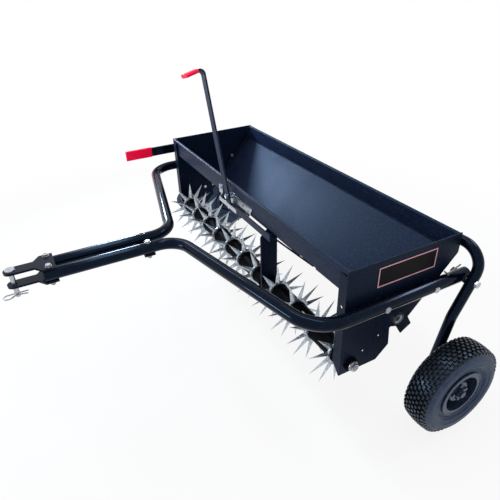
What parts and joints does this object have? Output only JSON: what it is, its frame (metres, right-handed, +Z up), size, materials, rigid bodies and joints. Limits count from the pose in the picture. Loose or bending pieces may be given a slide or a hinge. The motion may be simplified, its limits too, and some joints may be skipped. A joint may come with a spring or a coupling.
{
  "type": "tow-behind spreader aerator",
  "caption": "Towed lawn implement: V-shaped drop-spreader hopper over a reel of star tines, with a tube drawbar, flow lever and lift-up transport wheels.",
  "frame": {"origin": "on the ground under the middle of the part's box, wheels down in the transport position", "axes": "+X across the working width, -Y the way it is towed, +Z up"},
  "size_m": [1.3364, 1.0236, 0.7654],
  "materials": {
    "black_coat": "semi-gloss powder coat",
    "galvanised": "galvanised, dull",
    "zinc": "bright zinc plate",
    "bare_steel": "oiled bare steel",
    "black_plastic": "moulded, matte",
    "red_vinyl": "dipped vinyl",
    "tyre_rubber": "turf tread",
    "rim_coat": "semi-gloss black"
  },
  "bodies": {
    "chassis": {"hopper_tray": "black_coat", "end_plate_left": "black_coat", "end_plate_right": "black_coat", "drawbar_tube_left": "black_coat", "drawbar_tube_right": "black_coat", "hitch_plate_upper": "black_coat", "hitch_plate_lower": "black_coat", "tongue_tie_plate": "zinc", "tongue_bolts": "zinc", "drawbar_bolts": "zinc", "frame_washers": "black_coat", "centre_hanger": "black_coat", "hanger_bush": "black_plastic", "axle_bearings": "black_plastic", "agitator_bushes": "zinc", "closure_guides": "black_coat", "flow_bracket": "zinc", "bracket_bolts": "zinc", "lever_pivot_bolt": "zinc", "chain_guard": "black_coat", "guard_bolts": "zinc", "drive_chain": "bare_steel", "pivot_bolts": "zinc", "lock_pin": "bare_steel"},
    "tine_reel": {"tine_axle": "bare_steel", "reel_spools": "black_plastic", "drive_sprocket": "bare_steel", "axle_nuts": "zinc", "tine_star_1": "galvanised", "tine_star_2": "galvanised", "tine_star_3": "galvanised", "tine_star_4": "galvanised", "tine_star_5": "galvanised", "tine_star_6": "galvanised", "tine_star_7": "galvanised", "tine_star_8": "galvanised", "tine_star_9": "galvanised", "tine_star_10": "galvanised", "tine_star_11": "galvanised"},
    "agitator": {"agitator_shaft": "bare_steel", "agitator_sprocket": "bare_steel"},
    "lever": {"flow_lever": "black_coat", "flow_grip": "red_vinyl", "lever_pin": "zinc"},
    "closure": {"closure_plate": "zinc", "flow_link": "black_coat"},
    "transport": {"transport_frame": "black_coat", "lift_handle": "black_coat", "lift_grip": "red_vinyl", "stub_axles": "bare_steel"},
    "wheel_left": {"tyre_left": "tyre_rubber", "rim_left": "rim_coat", "rim_bolts_left": "zinc"},
    "wheel_right": {"tyre_right": "tyre_rubber", "rim_right": "rim_coat", "rim_bolts_right": "zinc"},
    "clevis_pin": {"hitch_pin": "zinc", "hitch_clip": "zinc"}
  },
  "joints": [
    {"name": "reel_spin", "type": "hinge", "parent": "chassis", "child": "tine_reel", "pos_m": [0, 0.1678, 0.20428], "axis": [1, 0, 0], "continuous": true, "deforming": ["drive_chain"]},
    {"name": "agitator_spin", "type": "hinge", "parent": "chassis", "child": "agitator", "pos_m": [0, 0.2958, 0.287], "axis": [1, 0, 0], "continuous": true},
    {"name": "transport_lift", "type": "hinge", "parent": "chassis", "child": "transport", "pos_m": [0, 0.46431, 0.36], "axis": [-1, 0, 0], "range_deg": [0, 60]},
    {"name": "wheel_left_spin", "type": "hinge", "parent": "transport", "child": "wheel_left", "pos_m": [-0.62825, 0.3888, 0.123], "axis": [1, 0, 0], "continuous": true},
    {"name": "wheel_right_spin", "type": "hinge", "parent": "transport", "child": "wheel_right", "pos_m": [0.62825, 0.3888, 0.123], "axis": [1, 0, 0], "continuous": true},
    {"name": "flow_lever_swing", "type": "hinge", "parent": "chassis", "child": "lever", "pos_m": [-0.034, 0.1288, 0.422], "axis": [0, 1, 0], "range_deg": [0, 30]},
    {"name": "closure_slide", "type": "slide", "parent": "chassis", "child": "closure", "axis": [-1, 0, 0], "range_m": [0, 0.0155]},
    {"name": "clevis_pin_lift", "type": "slide", "parent": "chassis", "child": "clevis_pin", "axis": [0, 0, 1], "range_m": [0, 0.02]}
  ],
  "couplings": [
    {"joint": "agitator_spin", "follows": "reel_spin", "ratio": 1},
    {"joint": "closure_slide", "follows": "flow_lever_swing", "m_per_rad": 0.02955}
  ]
}
